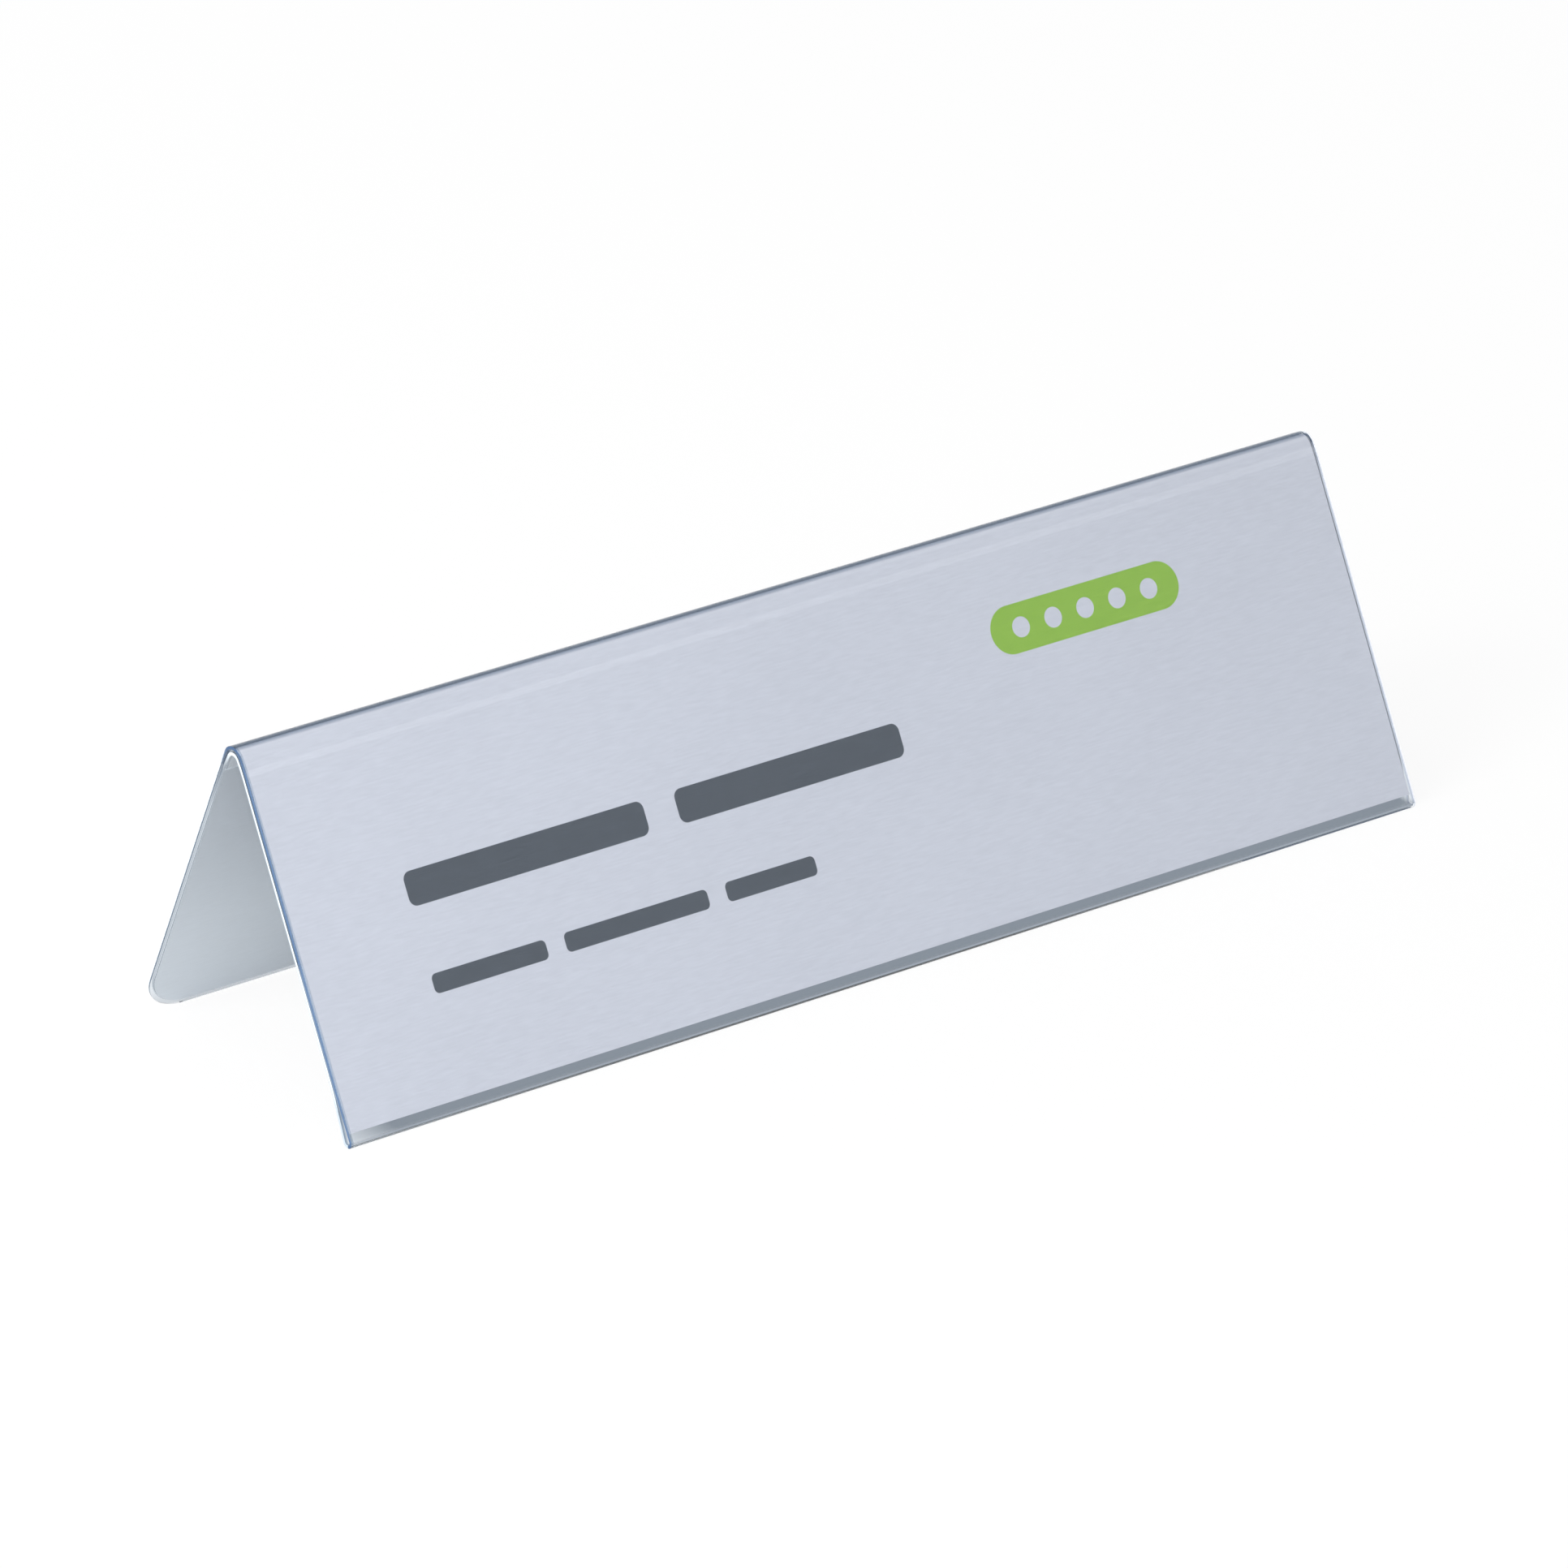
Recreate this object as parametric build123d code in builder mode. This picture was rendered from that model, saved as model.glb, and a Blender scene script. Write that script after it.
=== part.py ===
"""Tent-shaped desk name plate: a clear film sleeve and the folded card that slides into it.

The sleeve is one sheet. It runs up the rear leg, over the ridge and down the front leg, is folded back on
itself along the front foot, and runs up again as an inner layer that hooks over the ridge. The card lies
between the two layers of the front leg and against the inside of the rear leg.

X runs along the plate, the reading side faces -Y and Z points up. The origin is on the desk, under the
middle of the plate.
"""

import os
from math import cos, radians, sin, tan

from build123d import *

# Driving dimensions, in millimetres and degrees
card_length = 210.0  # along the plate
card_thickness = 0.25
card_margin = 0.5  # clear film beyond each end of the card
card_front_height = 2.25  # lower edges of the card above the desk
card_rear_height = 1.1
film_thickness = 0.55
slot_clearance = 0.08  # between each face of the card and the film
half_base = 30.85  # from below the ridge to where a leg's outer face meets the desk
leg_angle = 63.2  # slope of both legs
ridge_radius = 3.0  # outside of the bend along the ridge
lip_run = 0.3  # straight part of the inner layer behind that bend
fold_inner_radius = 0.45  # inside of the fold along the front foot
foot_land = 0.4  # flat strip that the fold stands on
fold_height = 8.0  # where the two layers have closed up above the fold
fold_ease_radius = 40.0  # gentle bend of the inner layer at that height
rear_corner_radius = 8.5  # rounded lower corners of the rear leg

# Sizes that follow from them
slope = radians(leg_angle)
slot_gap = card_thickness + 2 * slot_clearance
stack_thickness = 2 * film_thickness + slot_gap
holder_length = card_length + 2 * card_margin
ridge_inner_radius = ridge_radius - stack_thickness
fold_outer_radius = fold_inner_radius + film_thickness
fold_front_reach = fold_outer_radius / tan(slope / 2)  # corner to round end, at the fold's sharp corner
fold_rear_reach = fold_outer_radius * tan(slope / 2)  # the same at its blunt corner
fold_width = fold_front_reach + foot_land + fold_rear_reach
lip_reach = ridge_inner_radius * tan(slope) + lip_run  # inner layer's sharp ridge corner to its free edge
trim_depth = 2 * film_thickness  # drawn below the desk at the rear, then cut level

# The round fold stops short of the front leg's sharp corner, so the ridge stands half of that further forward
fold_setback = fold_front_reach - fold_outer_radius
end_view = Plane(origin=(0, -fold_setback / 2, 0), x_dir=(0, 1, 0), z_dir=(1, 0, 0))


def leg_reach(inset, height):
    """Distance from the ridge plane to the surface that lies inset below a leg's outer face."""
    return half_base - inset / sin(slope) - height / tan(slope)


def ridge_point(inset):
    """Where those surfaces of the two legs would meet without the bend."""
    return (0, half_base * tan(slope) - inset / cos(slope))


def corner_offcuts(length, bottom, radius):
    """What is cut away to round both lower corners of a rear leg with that length and lower edge."""
    with BuildPart() as offcuts:
        with BuildSketch(Plane.XZ):
            with Locations((0, bottom)):
                Rectangle(length, radius, align=(Align.CENTER, Align.MIN))
                RectangleRounded(length, 3 * radius, radius, align=(Align.CENTER, Align.MIN), mode=Mode.SUBTRACT)
        extrude(amount=-2 * half_base)
    return offcuts.part


# Clear film sleeve
inner_ridge_height = ridge_point(stack_thickness)[1]
sheet_line = [
    (leg_reach(0, -trim_depth), -trim_depth),
    ridge_point(0),
    (-half_base, 0),
    (fold_width - half_base, 0),
    (-leg_reach(stack_thickness, fold_height), fold_height),
    (0, inner_ridge_height),
    (lip_reach * cos(slope), inner_ridge_height - lip_reach * sin(slope)),
]
sheet_radii = [
    ridge_radius,
    fold_outer_radius,
    fold_outer_radius,
    fold_ease_radius,
    ridge_inner_radius,
]

holder_offcuts = corner_offcuts(holder_length, 0, rear_corner_radius)

with BuildPart() as clear_holder:
    with BuildSketch(end_view):
        with BuildLine():
            FilletPolyline(*sheet_line, radius=sheet_radii)
            offset(amount=film_thickness, side=Side.LEFT)
        make_face()
        with Locations((half_base, 0)):
            Rectangle(half_base, 2 * trim_depth, align=(Align.CENTER, Align.MAX), mode=Mode.SUBTRACT)
    extrude(amount=holder_length / 2, both=True)
    add(holder_offcuts, mode=Mode.SUBTRACT)


# Folded card
def card_face(inset):
    """Line of one face of the card, from its rear lower edge over the ridge to its front lower edge."""
    rear_edge = (leg_reach(inset, card_rear_height), card_rear_height)
    front_edge = (-leg_reach(inset, card_front_height), card_front_height)
    return FilletPolyline(rear_edge, ridge_point(inset), front_edge, radius=ridge_radius - inset)


card_inset = film_thickness + slot_clearance
card_offcuts = corner_offcuts(card_length, card_rear_height, rear_corner_radius - card_margin)

with BuildPart() as insert_card:
    with BuildSketch(end_view):
        with BuildLine():
            outer_face = card_face(card_inset)
            inner_face = card_face(card_inset + card_thickness)
            Line(outer_face @ 0, inner_face @ 0)
            Line(outer_face @ 1, inner_face @ 1)
        make_face()
    extrude(amount=card_length / 2, both=True)
    add(card_offcuts, mode=Mode.SUBTRACT)

os.makedirs("parts", exist_ok=True)
for name, piece in {"clear_holder": clear_holder, "insert_card": insert_card}.items():
    piece.part.label = name
    export_step(piece.part, f"parts/{name}.step")
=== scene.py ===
# %% [markdown]
# # A tent-shaped desk name plate
#
# A clear sheet of stiff film is bent over a ridge and folded back on itself along the front foot, and a
# folded card slides in between its layers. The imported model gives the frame: every place below is worked
# out from it.

from math import atan2, cos, hypot, pi, radians, sin, tan

import bmesh
import bpy
from mathutils import Matrix, Vector


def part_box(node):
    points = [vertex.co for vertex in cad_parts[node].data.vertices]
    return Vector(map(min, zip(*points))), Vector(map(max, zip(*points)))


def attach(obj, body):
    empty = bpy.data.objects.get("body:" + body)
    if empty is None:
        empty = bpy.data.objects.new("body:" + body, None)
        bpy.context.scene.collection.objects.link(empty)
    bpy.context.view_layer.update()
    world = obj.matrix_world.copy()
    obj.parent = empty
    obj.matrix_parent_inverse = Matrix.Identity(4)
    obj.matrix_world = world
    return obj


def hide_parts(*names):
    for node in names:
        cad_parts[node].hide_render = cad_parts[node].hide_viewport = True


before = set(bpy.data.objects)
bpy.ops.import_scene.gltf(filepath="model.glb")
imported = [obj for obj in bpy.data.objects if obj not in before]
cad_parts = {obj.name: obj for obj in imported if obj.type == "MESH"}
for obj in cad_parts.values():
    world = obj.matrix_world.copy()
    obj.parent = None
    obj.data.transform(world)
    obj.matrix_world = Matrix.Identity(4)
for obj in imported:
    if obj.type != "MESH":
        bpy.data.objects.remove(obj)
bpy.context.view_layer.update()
mm = 0.001

# %% [markdown]
# ## Sizes
#
# Seen from the end, the plate is drawn with a pen that only knows two moves: run straight on, or turn on a
# radius. The clear sheet and the card are both such lines, so a few thicknesses, radii and one slope give
# them all. The length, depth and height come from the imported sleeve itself. A sheet that is bent by hand
# eases into its bend, so the last few degrees on each side of the ridge's round crown are drawn on a much
# larger radius.

# %% Sizes of the sheets
film_thickness = 0.55 * mm
card_thickness = 0.25 * mm
slot_clearance = 0.08 * mm  # between each face of the card and the film
slope = radians(63.2)  # of both legs
ease_angle = radians(6)  # of the ridge's bend, on each side of its crown
ease_radius = 30.0 * mm
lip_run = 0.3 * mm  # straight part of the inner layer behind the ridge
fold_inner_radius = 0.45 * mm  # inside of the fold along the front foot
foot_land = 0.4 * mm  # flat strip that the fold stands on
fold_height = 8.0 * mm  # where the two layers have closed up above the fold
fold_ease_radius = 40.0 * mm  # gentle bend of the inner layer at that height
rear_corner_radius = 8.5 * mm  # rounded lower corners of the rear leg
rear_corner_zone = 5.0 * mm  # before they are rounded, only these corners lie below this height
card_margin = 0.5 * mm  # clear film beyond each end of the card
card_front_height = 2.25 * mm  # lower edges of the card above the desk
card_rear_height = 1.1 * mm
film_edge_round = 0.05 * mm  # a blade leaves no razor edge
card_edge_round = 0.03 * mm

holder_low, holder_high = (Vector(corner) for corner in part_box("clear_holder"))
holder_length = holder_high.x - holder_low.x
card_length = holder_length - 2 * card_margin
card_corner_radius = rear_corner_radius - card_margin
stack_thickness = 2 * film_thickness + card_thickness + 2 * slot_clearance
fold_outer_radius = fold_inner_radius + film_thickness
fold_setback = fold_outer_radius / tan(slope / 2) - fold_outer_radius
half_base = holder_high.y + fold_setback / 2
ridge_y = -fold_setback / 2
ridge_height = holder_high.z
crown_turn = slope - ease_angle
crown_pull = sin(crown_turn) * tan(slope) + cos(crown_turn) - 1
ease_pull = 1 / cos(slope) - sin(crown_turn) * tan(slope) - cos(crown_turn)
crown_radius = (half_base * tan(slope) - ridge_height - ease_radius * ease_pull) / crown_pull
crown_drop = crown_radius * (1 - cos(crown_turn)) + ease_radius * (cos(crown_turn) - cos(slope))
leg_top = ridge_height - crown_drop
print(f"crown radius {crown_radius / mm:.2f} mm, flat legs up to {leg_top / mm:.2f} mm")


def leg_reach(inset, height):
    """Distance from the ridge plane to the surface that lies inset below a leg's outer face."""
    return half_base - inset / sin(slope) - height / tan(slope)


# %% [markdown]
# ## Folding a sheet
#
# A sheet could be typed in as a list of points, but it is easier to follow when it is folded as on a bench:
# start with one flat strip, pick its far edge, pull it on for a straight run, and spin it about the bend's
# own axis for a turn. Solidify then gives the thickness on one side, and a tiny bevel takes the razor edge
# off the cut ends.

# %% A sheet that is drawn out edge by edge
ease_steps = 6  # flat facets in each kind of bend
crown_steps = 36
fold_steps = 24
heel_steps = 14
inner_ease_steps = 4
corner_steps = 14
cut_angle = radians(60)  # edges sharper than this are cuts, and get the bevel
bend_angle = radians(35)  # facets that meet at less than this are one smooth bend


class FoldedSheet:
    """A strip along X, drawn out in the end view by straight runs and round turns from its moving edge."""

    def __init__(self, name, length, across, height, heading, distance):
        bpy.ops.object.select_all(action="DESELECT")
        self.heading = heading
        self.edge = Vector((0, ridge_y + across, height))
        middle = self.edge + self.forward() * distance / 2
        bpy.ops.mesh.primitive_plane_add(size=1, location=middle, rotation=(heading, 0, 0))
        self.piece = bpy.context.object
        self.piece.name = name
        self.piece.data.name = name
        self.piece.scale = (length, distance, 1)
        bpy.ops.object.transform_apply(location=True, rotation=True, scale=True)
        bpy.ops.object.mode_set(mode="EDIT")
        self.edge += self.forward() * distance
        self.select_points(lambda point: (point - self.edge).dot(self.forward()) > -distance / 2)

    def forward(self):
        return Vector((0, cos(self.heading), sin(self.heading)))

    def left(self):
        return Vector((0, -sin(self.heading), cos(self.heading)))

    def select_points(self, chosen):
        """Selects the points for which chosen is true, and the edges between them."""
        bpy.ops.mesh.select_mode(type="VERT")
        bpy.ops.mesh.select_all(action="DESELECT")
        shape = bmesh.from_edit_mesh(self.piece.data)
        for point in shape.verts:
            point.select_set(chosen(point.co))
        shape.select_flush(True)
        bmesh.update_edit_mesh(self.piece.data)

    def face_count(self):
        return len(bmesh.from_edit_mesh(self.piece.data).faces)

    def run(self, distance):
        move = self.forward() * distance
        bpy.ops.mesh.extrude_region_move(TRANSFORM_OT_translate={"value": move})
        self.edge += move

    def turn(self, angle, radius, steps):
        """Turns to the left for a positive angle, to the right for a negative one."""
        side = self.left() if angle > 0 else -self.left()
        centre = self.edge + side * radius
        bpy.ops.mesh.spin(steps=steps, angle=angle, center=centre, axis=(-1, 0, 0))
        self.heading += angle
        side = self.left() if angle > 0 else -self.left()
        self.edge = centre - side * radius

    def bend_over_ridge(self, inset, side):
        """Follows the ridge at that inset below the outer face, to the left for side 1, the right for -1."""
        self.turn(side * ease_angle, ease_radius - inset, ease_steps)
        self.turn(side * 2 * crown_turn, crown_radius - inset, crown_steps)
        self.turn(side * ease_angle, ease_radius - inset, ease_steps)

    def round_corners(self, radius):
        """Rounds the two lower corners of the rear leg."""
        ends = holder_length / 2 - 2 * card_margin
        self.select_points(
            lambda point: point.y > 0 and point.z < rear_corner_zone and abs(point.x) > ends
        )
        bpy.ops.mesh.bevel(offset=radius, segments=corner_steps, affect="VERTICES")

    def thicken(self, thickness, edge_round, back_slot, rim_slot):
        """Gives the sheet its thickness, to the left of the drawn line, and leaves edit mode.

        Faces of the new side and of the rim move on by that many material slots.
        """
        bpy.ops.object.mode_set(mode="OBJECT")
        if self.piece.data.polygons[0].normal.y < 0:
            self.piece.data.flip_normals()
        wall = self.piece.modifiers.new("wall", "SOLIDIFY")
        wall.thickness = thickness
        wall.offset = -1
        wall.use_even_offset = True
        wall.material_offset = back_slot
        wall.material_offset_rim = rim_slot
        bpy.ops.object.modifier_apply(modifier=wall.name)
        soften = self.piece.modifiers.new("soften", "BEVEL")
        soften.width = edge_round
        soften.segments = 2
        soften.limit_method = "ANGLE"
        soften.angle_limit = cut_angle
        bpy.ops.object.modifier_apply(modifier=soften.name)
        bpy.ops.object.shade_smooth_by_angle(angle=bend_angle)
        level = self.piece.modifiers.new("level", "WEIGHTED_NORMAL")
        level.keep_sharp = True
        bpy.ops.object.modifier_apply(modifier=level.name)
        return self.piece


# %% [markdown]
# ## The clear sleeve
#
# The line starts at the rear foot, climbs the rear leg, turns over the ridge and comes down the front leg.
# There it folds back round the foot, follows the front leg up again on the inside, and hooks over the ridge
# with a short lip. It could be a closed outline that is pulled along the plate, but one sheet with a wall is
# equally thick everywhere, as real film is. The card is always on its left, so that is the side on which the
# film gets its thickness. Rear leg, front leg and inner layer get a material slot each, and so do their cut
# ends, because light leaves the ends in different tints. The film's two free edges, at the rear foot and on
# the lip, run along the plate and are told apart from the cut ends by that.

# %% Fold the clear sleeve
rear_slot, front_slot, inner_slot = range(3)
cut_end_slots = 3  # a cut end's slot lies this far beyond that of its layer
lip_slot = inner_slot + cut_end_slots + 1

rear_start = film_thickness * cos(slope)
foot_reach = fold_outer_radius / tan(slope / 2)
inner_foot = foot_reach + foot_land + fold_outer_radius * tan(slope / 2)
inner_rise = half_base - inner_foot - leg_reach(stack_thickness, fold_height)
inner_slope = atan2(fold_height, inner_rise)
inner_reach = fold_outer_radius * tan(inner_slope / 2)
ease_turn = inner_slope - slope
ease_reach = fold_ease_radius * tan(ease_turn / 2)
inner_top = leg_top - stack_thickness * cos(slope)

sleeve = FoldedSheet(
    "clear_sleeve",
    holder_length,
    leg_reach(0, rear_start),
    rear_start,
    pi - slope,
    (leg_top - rear_start) / sin(slope),
)
rear_faces = sleeve.face_count()
sleeve.bend_over_ridge(0, 1)
sleeve.run(leg_top / sin(slope) - foot_reach)
sleeve.turn(pi - slope, fold_outer_radius, fold_steps)
front_faces = sleeve.face_count()
sleeve.run(inner_foot - foot_reach - inner_reach)
sleeve.turn(inner_slope, fold_outer_radius, heel_steps)
sleeve.run(hypot(inner_rise, fold_height) - inner_reach - ease_reach)
sleeve.turn(-ease_turn, fold_ease_radius, inner_ease_steps)
sleeve.run((inner_top - fold_height) / sin(slope) - ease_reach)
sleeve.bend_over_ridge(stack_thickness, -1)
sleeve.run(lip_run)
print(f"lip ends {sleeve.edge.z / mm:.2f} mm above the desk")

bpy.ops.object.mode_set(mode="OBJECT")
for face in sleeve.piece.data.polygons[rear_faces:]:
    face.material_index = front_slot
for face in sleeve.piece.data.polygons[front_faces:]:
    face.material_index = inner_slot
bpy.ops.object.mode_set(mode="EDIT")
sleeve.round_corners(rear_corner_radius)
for slot in range(lip_slot + 1):
    sleeve.piece.data.materials.append(None)
clear_sleeve = sleeve.thicken(film_thickness, film_edge_round, 0, cut_end_slots)
for face in clear_sleeve.data.polygons:
    runs_along = abs(face.normal.x) < 0.1
    if runs_along and face.material_index == rear_slot + cut_end_slots:
        face.material_index = rear_slot
    elif runs_along and face.material_index == inner_slot + cut_end_slots:
        face.material_index = lip_slot
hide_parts("clear_holder")
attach(clear_sleeve, "holder")
print(len(clear_sleeve.data.polygons), "faces in the sleeve")

# %% [markdown]
# ## The card
#
# The card is the same line, set in by the film and a little air: up the rear leg, over the ridge and down to
# just above the front fold. It is a sheet of its own, so it can slide out of either end. Its outside and its
# cut edges share one material slot, and its inside has the other.

# %% Fold the card
outside_slot, inside_slot = range(2)
card_inset = film_thickness + slot_clearance
card_top = leg_top - card_inset * cos(slope)
card_sheet = FoldedSheet(
    "folded_card",
    card_length,
    leg_reach(card_inset, card_rear_height),
    card_rear_height,
    pi - slope,
    (card_top - card_rear_height) / sin(slope),
)
card_sheet.bend_over_ridge(card_inset, 1)
card_sheet.run((card_top - card_front_height) / sin(slope))
card_sheet.round_corners(card_corner_radius)
for slot in (outside_slot, inside_slot):
    card_sheet.piece.data.materials.append(None)
folded_card = card_sheet.thicken(card_thickness, card_edge_round, inside_slot, outside_slot)
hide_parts("insert_card")
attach(folded_card, "card")
print(len(folded_card.data.polygons), "faces in the card")

# %% [markdown]
# ## Shader maths as plain expressions
#
# Materials are node trees. Wrapping a socket in a small class lets the maths be written as ordinary Python,
# and one method adds every other kind of node.


# %% A socket that takes part in expressions
class Wire:
    """A shader socket; an operator on it adds a Math node to its tree."""

    def __init__(self, tree, socket=None):
        self.tree = tree
        self.socket = socket

    def node(self, kind, inputs, settings=None, output=0):
        made = self.tree.nodes.new("ShaderNode" + kind)
        for name, value in (settings or {}).items():
            setattr(made, name, value)
        for name, value in inputs.items():
            if isinstance(value, Wire):
                self.tree.links.new(value.socket, made.inputs[name])
            else:
                made.inputs[name].default_value = value
        return Wire(self.tree, made.outputs[output])

    def math(self, operation, first, second=0.0, clamp=False):
        settings = {"operation": operation, "use_clamp": clamp}
        return self.node("Math", {0: first, 1: second}, settings)

    def __add__(self, other):
        return self.math("ADD", self, other)

    def __radd__(self, other):
        return self.math("ADD", other, self)

    def __sub__(self, other):
        return self.math("SUBTRACT", self, other)

    def __rsub__(self, other):
        return self.math("SUBTRACT", other, self)

    def __mul__(self, other):
        return self.math("MULTIPLY", self, other)

    def __rmul__(self, other):
        return self.math("MULTIPLY", other, self)

    def __truediv__(self, other):
        return self.math("DIVIDE", self, other)

    def __pow__(self, other):
        return self.math("POWER", self, other)

    def __abs__(self):
        return self.math("ABSOLUTE", self)

    def __lt__(self, other):
        return self.math("LESS_THAN", self, other)

    def __gt__(self, other):
        return self.math("GREATER_THAN", self, other)

    def at_least(self, other):
        return self.math("MAXIMUM", self, other)

    def clamped(self):
        return self.math("ADD", self, 0.0, clamp=True)

    def mix(self, first, second):
        """Colour between first and second, with this value as the share of the second."""
        inputs = {"Factor": self, 6: first, 7: second}
        return self.node("Mix", inputs, {"data_type": "RGBA"}, output=2)

    def split(self):
        """The three parts of this vector."""
        parts = self.node("SeparateXYZ", {0: self}).socket.node.outputs
        return [Wire(self.tree, part) for part in parts]

    def noise(self, scale, detail=2.0):
        """Noise from 0 to 1 at this vector stretched by scale."""
        vector = self.node("Mapping", {"Vector": self, "Scale": scale})
        return self.node("TexNoise", {"Vector": vector, "Scale": 1.0, "Detail": detail})

    def rays(self, *kinds):
        """1 for rays of any of the given kinds, 0 for the others."""
        wires = [self.node("LightPath", {}, output=f"Is {kind} Ray") for kind in kinds]
        total = wires[0]
        for wire in wires[1:]:
            total = total.at_least(wire)
        return total


# %% [markdown]
# ## Tools for all materials
#
# Every material starts empty and works from the object's own coordinates, in metres, so its marks stay where
# they are when the piece moves. Colours are written as a picture editor shows them.


# %% Empty materials, places and colours
def new_material(name):
    """An empty material, with a wire for its tree and the surface input of its output."""
    material = bpy.data.materials.new(name)
    material.use_nodes = True
    material.node_tree.nodes.clear()
    output = material.node_tree.nodes.new("ShaderNodeOutputMaterial")
    return material, Wire(material.node_tree), output.inputs["Surface"]


def finish_material(tree, surface, shader):
    tree.tree.links.new(shader.socket, surface)


def object_point(tree):
    return tree.node("TexCoord", {}, output="Object")


def corner_distance(beside, below, radius):
    """Distance from a rounded corner, for how far a point lies beyond its centre on each side."""
    return (beside.at_least(0.0) ** 2.0 + below.at_least(0.0) ** 2.0) ** 0.5 - radius


def past_card_outline(point):
    """How far a point of the rear leg lies beyond the card's outline there; less than 0 on the card."""
    along, _, height = point.split()
    beside = abs(along) - card_length / 2 + card_corner_radius
    below = card_rear_height + card_corner_radius - height
    return corner_distance(beside, below, card_corner_radius)


def srgb(red, green, blue):
    """A colour as a picture editor names it, 0 to 255, in the linear light that shaders use."""
    shares = [value / 255 for value in (red, green, blue)]
    light = [s / 12.92 if s <= 0.04045 else ((s + 0.055) / 1.055) ** 2.4 for s in shares]
    return (*light, 1.0)


# %% [markdown]
# ## Clear film
#
# The film is polished on both faces, so it is real refracting plastic for everything that the eye follows.
# Lamps would hardly reach the card through such a shader, and a clear sheet hardly dims them, so light on
# its way to or from the card passes straight through. Beyond the card's ends, the double front is
# painted blue, as painted light that the sheet carries out to its cut ends, more of it at the end that
# faces the lamps. On the single rear leg, the film next to the card is greyed by a painted reflection
# of the card's cut edge.

# %% Film
plastic_index = 1.5  # how strongly the plastic bends light
clear_tint = (0.98, 0.985, 0.99, 1.0)
# Painted blue light beyond the card's ends, stronger at the end that faces the lamps.
lamp_end_painted_blue = (0.43, 0.51, 0.61, 1.0)
far_end_painted_blue = (0.62, 0.66, 0.75, 1.0)
# Painted reflection of the card's cut edge in the film beside it on the rear leg.
painted_edge_reflection = srgb(188, 195, 202)
edge_reflection_width = 0.25 * mm
edge_reflection_starts = 0.02 * mm
edge_reflection_fades = 0.05 * mm
blue_fades_in = 0.1 * mm


def let_light_pass(tree, shader):
    """The given shader, through which light on its way to or from the card goes straight."""
    straight = tree.node("BsdfTransparent", {"Color": (0.97, 0.98, 0.985, 1.0)})
    return tree.node("MixShader", {0: tree.rays("Shadow", "Diffuse"), 1: shader, 2: straight})


film, tree, surface = new_material("clear_film")
point = object_point(tree)
along, across, _ = point.split()
smudge = point.noise((60, 60, 60), 3.0)
ripple = point.noise((12, 40, 40), 1.0)
on_front = across < ridge_y
past_end = ((abs(along) - card_length / 2) / blue_fades_in).clamped()
past_outline = past_card_outline(point)
beyond_card = (past_outline / edge_reflection_starts).clamped()
edge_reflection_share = beyond_card * ((edge_reflection_width - past_outline) / edge_reflection_fades).clamped()
# Painted light: blue beyond the card's ends, and a grey reflection of the card's edge beside it.
painted_end_blue = (along > 0.0).mix(lamp_end_painted_blue, far_end_painted_blue)
tint = (past_end * on_front).mix(clear_tint, painted_end_blue)
tint = (edge_reflection_share * (1.0 - on_front)).mix(tint, painted_edge_reflection)
plastic = tree.node(
    "BsdfPrincipled",
    {
        "Base Color": tint,
        "Roughness": 0.01 + 0.03 * smudge,
        "IOR": plastic_index,
        "Transmission Weight": 1.0,
        "Normal": tree.node("Bump", {"Height": ripple, "Strength": 0.006, "Distance": 1.0 * mm}),
    },
)
finish_material(tree, surface, let_light_pass(tree, plastic))
print(len(film.node_tree.nodes), "nodes in the film")

# %% [markdown]
# ## Cut ends of the film
#
# A clear sheet gathers light and lets it out at its cut ends, which is why they look blue or white and not
# clear. Here that light is painted on the end faces. The long front leg sends out blue light, most of all
# round the ridge and the foot. The inner layer ends white, and dull on its short lip. The rear leg ends
# pale, with a painted dark line along its inner side. A blade leaves fine scores, which break up the change
# from one colour to the next. Seen through the film, an end is painted plain daylight, and the lip's free
# edge is painted as grey as the card behind it. All this could be traced as light inside the sheet, but
# that takes a very long render, so the end faces are painted with this light and shade by place.

# %% Cut ends
side_blend = 4 * mm  # the legs' colours run into each other across the ridge
foot_tint_height = 1.4 * fold_outer_radius


def cut_end(name, layer_depth, rear, front, strong, foot_share, inside):
    """A scored end face.

    Rear and front are pairs of colours, for the layer's outer and inner side on that leg. Strong is the
    colour at the ridge, and with that share at the front foot; inside is the colour seen through the film.
    """
    material, tree, surface = new_material(name)
    point = object_point(tree)
    _, across, height = point.split()
    front_share = (0.5 - (across - ridge_y) / side_blend).clamped()
    outer, inner = (front_share.mix(behind, before) for behind, before in zip(rear, front))
    depth = (half_base - abs(across - ridge_y)) * sin(slope) - height * cos(slope) - layer_depth
    score = point.noise((200, 3000, 3000), 2.0)
    through = (2.5 * (depth / film_thickness) + 0.8 * score - 1.15).clamped()
    near_ridge = ((height - leg_top) / (ridge_height - leg_top)).clamped()
    near_foot = ((foot_tint_height - height) / fold_outer_radius).clamped()
    strong_share = near_ridge.at_least(foot_share * near_foot * front_share)
    tinted = strong_share.mix(through.mix(outer, inner), strong)
    # Painted light: seen from inside the film, an end face shows the daylight or card beyond it.
    seen_from_inside = tree.node("NewGeometry", {}, output="Backfacing")
    end_face = tree.node(
        "BsdfPrincipled",
        {
            "Base Color": seen_from_inside.mix(tinted, inside),
            "Roughness": 0.25 + 0.2 * score,
            "IOR": plastic_index,
            "Normal": tree.node("Bump", {"Height": score, "Strength": 0.2, "Distance": 0.1 * mm}),
        },
    )
    finish_material(tree, surface, let_light_pass(tree, end_face))
    return material


# The end colours are painted light and shade: the glow, the dark lines and the daylight of the cut ends.
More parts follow.
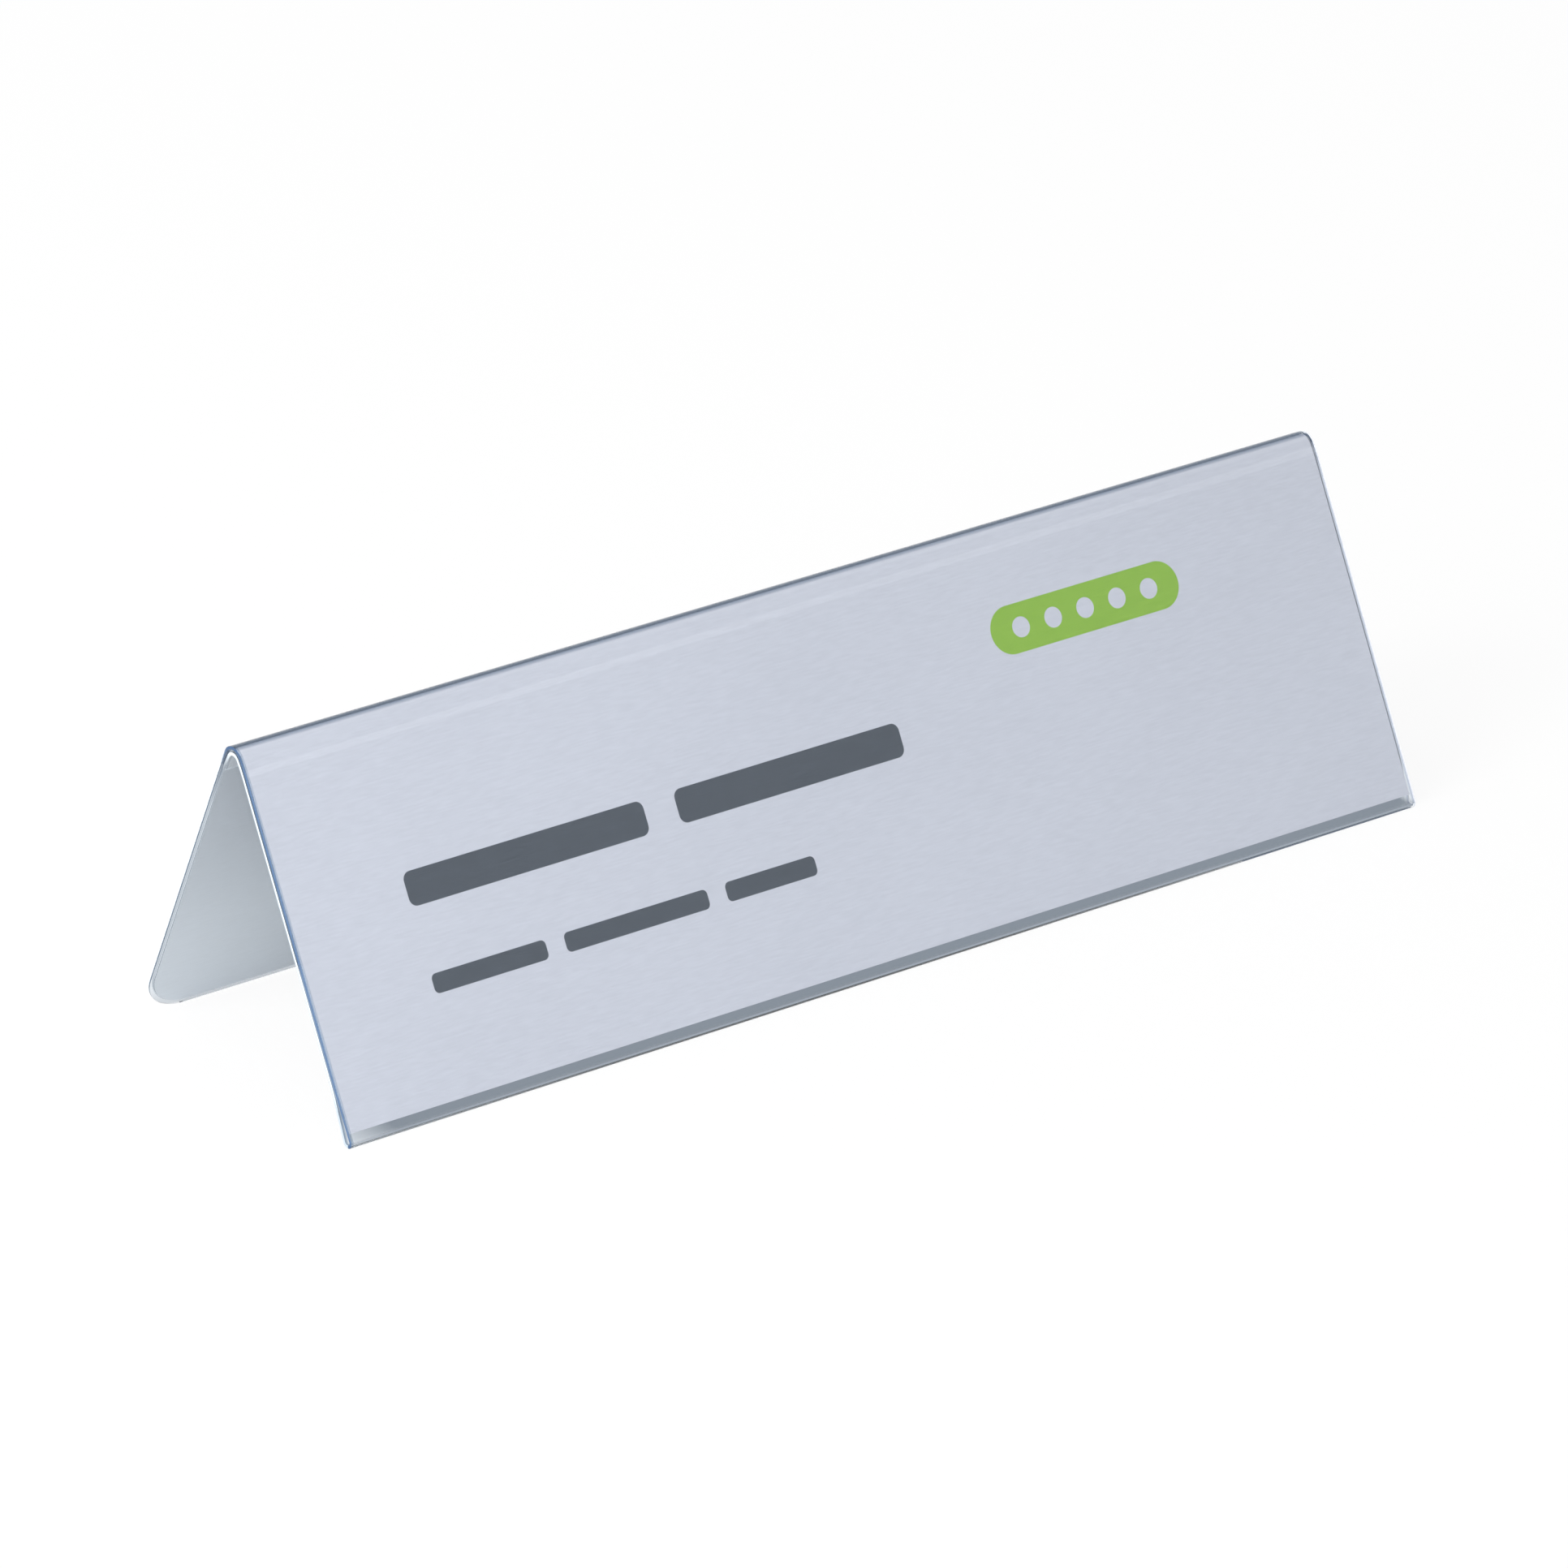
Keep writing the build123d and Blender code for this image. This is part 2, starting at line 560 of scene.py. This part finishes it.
pale_then_dark = (srgb(218, 225, 232), srgb(66, 82, 98))
blue = (srgb(72, 102, 138), srgb(46, 82, 126))
white = (srgb(226, 234, 238), srgb(172, 184, 194))
dull = (srgb(126, 134, 142), srgb(112, 120, 128))
lip_grey = srgb(186, 194, 202)
daylight = srgb(240, 240, 240)
inner_depth = stack_thickness - film_thickness
outer_end = cut_end(
    "outer_cut_end",
    0.0,
    rear=pale_then_dark,
    front=blue,
    strong=srgb(40, 74, 112),
    foot_share=1.0,
    inside=daylight,
)
inner_end = cut_end(
    "inner_cut_end",
    inner_depth,
    rear=dull,
    front=white,
    strong=srgb(220, 229, 234),
    foot_share=0.0,
    inside=daylight,
)
lip_edge = cut_end(
    "lip_edge",
    inner_depth,
    rear=(lip_grey, lip_grey),
    front=(lip_grey, lip_grey),
    strong=lip_grey,
    foot_share=0.0,
    inside=lip_grey,
)
sleeve_finishes = (film, film, film, outer_end, outer_end, inner_end, lip_edge)
for slot, material in enumerate(sleeve_finishes):
    clear_sleeve.data.materials[slot] = material
print("sleeve finishes:", [material.name for material in sleeve_finishes])

# %% [markdown]
# ## Card stock
#
# The card is smooth and pale, with short, fine streaks along its length, as fibres lie in rolled card, and
# softer clouds where it is a little thicker or thinner. Both come from one kind of noise, stretched along
# the card for the streaks.


# %% Card stock
def card_grain(tree):
    """Fine streaks along the card, from 0 to 1."""
    streaks = object_point(tree).noise((350, 3200, 3200), 2.0)
    return (2.6 * streaks - 0.8).clamped()


def card_tone(tree, dark, light, grain_share):
    """Colour of the bare card between the two given ones."""
    cloud = object_point(tree).noise((18, 30, 30), 2.0)
    return (grain_share * card_grain(tree) + (1 - grain_share) * cloud).mix(dark, light)


def card_surface(tree, surface, colour):
    """The matt, grained surface of the card in that colour."""
    grain = card_grain(tree)
    dent = tree.node("Bump", {"Height": grain, "Strength": 0.15, "Distance": 0.1 * mm})
    inputs = {"Base Color": colour, "Roughness": 0.55 + 0.1 * grain, "Normal": dent}
    finish_material(tree, surface, tree.node("BsdfPrincipled", inputs))


# %% [markdown]
# ## Print
#
# What stands on such a card is different on every desk, so plain bars keep the places: a large line, a small
# one below it, and a green strip with pale spots near the upper right. Thin raised shapes would do, but ink
# has no height, so each bar is a rounded box that the shader works out as a distance, and its rim stays
# crisp at any size. All places are in millimetres, along from the card's middle and down from the ridge.

# %% Printed bars
ink_rim = 0.08 * mm  # ink runs out over this width


def printed_bar(along, down, left, right, top, bottom, corner):
    """1 inside a rounded bar, 0 outside."""
    half_width = (right - left) / 2 - corner
    half_height = (bottom - top) / 2 - corner
    beside = abs(along - (left + right) / 2 * mm) - half_width * mm
    below = abs(down - (top + bottom) / 2 * mm) - half_height * mm
    return (0.5 - corner_distance(beside, below, corner * mm) / ink_rim).clamped()


def printed_row(along, down, spans, top, bottom, corner):
    """Several bars in one line."""
    bars = [printed_bar(along, down, left, right, top, bottom, corner) for left, right in spans]
    row = bars[0]
    for bar in bars[1:]:
        row = row.at_least(bar)
    return row


large_bars = [(-83.5, -38), (-32, 12)]
small_bars = [(-83.5, -62), (-58.5, -31), (-27.5, -10)]
spot_radius = 1.7
spot_line = 16.8
spot_centres = [40 + 6.5 * step for step in range(5)]
spots = [(centre - spot_radius, centre + spot_radius) for centre in spot_centres]
print(len(large_bars) + len(small_bars), "dark bars and", len(spots), "spots on the card")

# %% [markdown]
# ## Outside and inside of the card
#
# The outside is blue-grey, printed on the reading side only, with painted shade along the fold: a soft,
# darker blue band. Its cut edge on the rear leg has painted shade, because it lies deep behind the film's
# own edge. The inside is a little greener, with painted shade towards the fold, where the two halves shade
# each other.

# %% Printed outside
# Painted shade along the fold and on the rear cut edge.
painted_fold_shade = srgb(106, 124, 152)
fold_shade_width = 0.7 * mm
edge_width = 0.04 * mm
painted_edge_shade = srgb(124, 132, 140)

printed, tree, surface = new_material("printed_card")
point = object_point(tree)
along, across, height = point.split()
down = (ridge_height - height) / sin(slope)
on_front = across < ridge_y
large_line = printed_row(along, down, large_bars, 25.6, 31.2, corner=1.4)
small_line = printed_row(along, down, small_bars, 42.0, 45.2, corner=0.9)
green_strip = printed_bar(along, down, 34, 72, 12.8, 20.8, corner=4.0)
pale_spots = printed_row(
    along, down, spots, spot_line - spot_radius, spot_line + spot_radius, corner=spot_radius
)
grain = card_grain(tree)
ink = grain.mix(srgb(62, 70, 80), srgb(70, 78, 88))
green = grain.mix(srgb(128, 174, 44), srgb(136, 180, 54))
colour = card_tone(tree, srgb(187, 190, 201), srgb(200, 203, 214), 0.5)
colour = (large_line.at_least(small_line) * on_front).mix(colour, ink)
colour = (green_strip * (1.0 - pale_spots) * on_front).mix(colour, green)
# Painted shade: a soft darker blue band along the fold.
fold_shade_share = (1.1 - abs(across - ridge_y) / fold_shade_width).clamped() * (height > leg_top)
colour = (0.75 * fold_shade_share).mix(colour, painted_fold_shade)
# Painted shade on the card's cut edge on the rear leg, deep behind the film's edge.
cut_edge = past_card_outline(point) > -edge_width
colour = (cut_edge * (1.0 - on_front)).mix(colour, painted_edge_shade)
card_surface(tree, surface, colour)
folded_card.data.materials[outside_slot] = printed
print(len(printed.node_tree.nodes), "nodes in the printed outside")

# %% Plain inside
shade_starts = 18 * mm
shade_rise = 35 * mm

plain, tree, surface = new_material("plain_card_back")
height = object_point(tree).split()[2]
# Painted shade: the inside darkens towards the fold.
towards_fold = ((height - shade_starts) / shade_rise).clamped()
low_tone = card_tone(tree, srgb(190, 197, 204), srgb(203, 210, 217), 0.25)
fold_shade_tone = card_tone(tree, srgb(166, 173, 181), srgb(178, 185, 193), 0.25)
card_surface(tree, surface, towards_fold.mix(low_tone, fold_shade_tone))
folded_card.data.materials[inside_slot] = plain
print(len(plain.node_tree.nodes), "nodes in the plain inside")

# %% [markdown]
# ## White ground
#
# The ground is white paper that keeps a faint shadow. What the eye sees of it, straight on or in and through
# the gloss, is nearly the plain white of the sheet; what lights the object is the paper under the lamps. The
# world does the same for all that lies beyond it.

# %% Floor and world
floor_size = 12
floor_drop = 0.02 * mm  # below the feet, so that the surfaces don't fight
seen_share = 0.9
sky_light = 0.65
plain_white = (1.0, 1.0, 1.0, 1.0)


def seen_rays(tree):
    """1 for what the eye sees, straight on or in and through the gloss; 0 for light on its way elsewhere."""
    return tree.rays("Camera", "Glossy", "Transmission")


bpy.ops.object.select_all(action="DESELECT")
bpy.ops.mesh.primitive_plane_add(size=floor_size, location=(0, 0, -floor_drop))
floor = bpy.context.object
floor.name = "floor"

paper, tree, surface = new_material("white_paper")
matt = tree.node("BsdfDiffuse", {"Color": (0.92, 0.92, 0.92, 1.0)})
glow = tree.node("Emission", {"Color": plain_white, "Strength": 1.0})
finish_material(tree, surface, tree.node("MixShader", {0: seen_share * seen_rays(tree), 1: matt, 2: glow}))
floor.data.materials.append(paper)

world = bpy.data.worlds.new("studio")
bpy.context.scene.world = world
world.use_nodes = True
world.node_tree.nodes.clear()
tree = Wire(world.node_tree)
level = sky_light + (1 - sky_light) * seen_rays(tree)
sky = tree.node("Background", {"Color": plain_white, "Strength": level})
output = world.node_tree.nodes.new("ShaderNodeOutputWorld")
world.node_tree.links.new(sky.socket, output.inputs["Surface"])
print(f"floor of {floor_size} m, sky at {sky_light}")

# %% [markdown]
# ## Grey surround
#
# Clear film only shows up by the dark lines along its bends, and those lines are the surroundings, bent
# round. A studio puts grey cards round the object for that, just out of the picture. Here it is one round
# box that only light through the film sees. It glows by itself in plain tones that go by place: grey in
# front of the plate, a darker painted shadow of the plate on the ground just behind the front fold and a
# lighter one along the rear foot, paler under the rest of the plate and beside it, and dark blue-grey far
# off, for the bend along the ridge.

# %% Grey surround
surround_radius = 0.3
surround_height = 0.3
surround_drop = 0.01 * mm  # between the feet and the floor
ground_pale = srgb(228, 234, 240)
# Painted shadow of the plate on the ground, along the rear foot and just behind the front fold.
painted_shadow_at_rear_foot = srgb(192, 198, 204)
ground_before_fold = srgb(164, 174, 186)
painted_shadow_behind_fold = srgb(136, 145, 155)
far_blue_grey = srgb(70, 90, 114)

bpy.ops.object.select_all(action="DESELECT")
bpy.ops.mesh.primitive_circle_add(
    vertices=64, radius=surround_radius, fill_type="NGON", location=(0, 0, surround_height)
)
surround = bpy.context.object
surround.name = "grey_surround"
bpy.ops.object.mode_set(mode="EDIT")
lowering = (0, 0, -surround_height - surround_drop)
bpy.ops.mesh.extrude_region_move(TRANSFORM_OT_translate={"value": lowering})
bpy.ops.object.mode_set(mode="OBJECT")
surround.visible_camera = False
surround.visible_diffuse = False
surround.visible_glossy = False
surround.visible_shadow = False

grey, tree, surface = new_material("grey_card")
along, across, _ = object_point(tree).split()
inward = across + half_base
behind_fold = (inward / (2 * mm)).clamped()
clear_of_fold = ((inward - 8 * mm) / (10 * mm)).clamped()
clear_of_rear_foot = (abs(across - half_base) / (6 * mm)).clamped()
beside_left = (1.0 - (along + holder_length / 2) / (10 * mm)).clamped()
beside_right = ((along - holder_length / 2) / (2 * mm)).clamped()
beside = beside_left.at_least(beside_right)
far_off = ((abs(across) - 90 * mm) / (20 * mm)).clamped()
pale = clear_of_rear_foot.at_least(beside).mix(painted_shadow_at_rear_foot, ground_pale)
tone = behind_fold.mix(ground_before_fold, painted_shadow_behind_fold)
tone = clear_of_fold.at_least(beside * behind_fold).mix(tone, pale)
tone = far_off.mix(tone, far_blue_grey)
finish_material(tree, surface, tree.node("Emission", {"Color": tone, "Strength": 1.0}))
surround.data.materials.append(grey)
print(f"surround {surround_radius / mm:.0f} mm round the plate")

# %% [markdown]
# ## Lamps
#
# Large soft boxes stand to the left, in front and behind, and one low lamp shines into the open end of the
# tent. The film doesn't mirror them, as they would wash out the card. One narrow strip light is mirrored: it
# draws the pale streak where the front leg eases into the ridge.

# %% Lamps
lamp_aim = Vector((0, 0, 30 * mm))


def add_lamp(name, place, size, power, mirrored):
    """A soft box that looks at the plate, and whether the film mirrors it."""
    lamp = bpy.data.lights.new(name, "AREA")
    lamp.shape = "RECTANGLE"
    lamp.size, lamp.size_y = size
    lamp.energy = power
    stand = bpy.data.objects.new(name, lamp)
    bpy.context.scene.collection.objects.link(stand)
    stand.location = place
    stand.rotation_euler = (lamp_aim - Vector(place)).to_track_quat("-Z", "Y").to_euler()
    stand.visible_glossy = mirrored
    print(f"lamp {name}: {power} W")


add_lamp("key", (-0.95, -0.9, 0.6), (0.9, 0.9), 5.0, mirrored=False)
add_lamp("low", (-1.2, -0.5, 0.15), (0.4, 0.2), 3.0, mirrored=False)
add_lamp("side", (-1.25, -0.15, 0.75), (0.8, 0.8), 15.0, mirrored=False)
add_lamp("rear", (-0.6, 1.3, 0.55), (0.8, 0.8), 4.0, mirrored=False)
add_lamp("ridge_light", (0.685, -0.954, 0.608), (0.5, 0.08), 0.1, mirrored=True)

# %% [markdown]
# ## Camera
#
# The camera stands to the front left and above, as in the picture, far off with a long lens. The angles, the
# distance and the focal length are a fit to the plate's straight edges there.

# %% Camera
azimuth = radians(-35.678)
elevation = radians(24.369)
roll = radians(-0.574)
camera_distance = 1527.24 * mm
target = Vector((-77.281, -106.518, 81.867)) * mm
image_width = 1932
focal_pixels = 12805.4

camera = bpy.data.cameras.new("camera")
camera.sensor_width = 36
camera.lens = focal_pixels / image_width * camera.sensor_width
eye = bpy.data.objects.new("camera", camera)
bpy.context.scene.collection.objects.link(eye)
heading = Matrix.Rotation(azimuth, 4, "Z")
tilt = Matrix.Rotation(pi / 2 - elevation, 4, "X")
turn = heading @ tilt @ Matrix.Rotation(roll, 4, "Z")
back = turn.to_3x3() @ Vector((0, 0, 1))
eye.matrix_world = Matrix.Translation(target + camera_distance * back) @ turn
bpy.context.scene.camera = eye
bpy.context.scene.view_settings.view_transform = "Standard"
print(f"camera with a {camera.lens:.0f} mm lens")
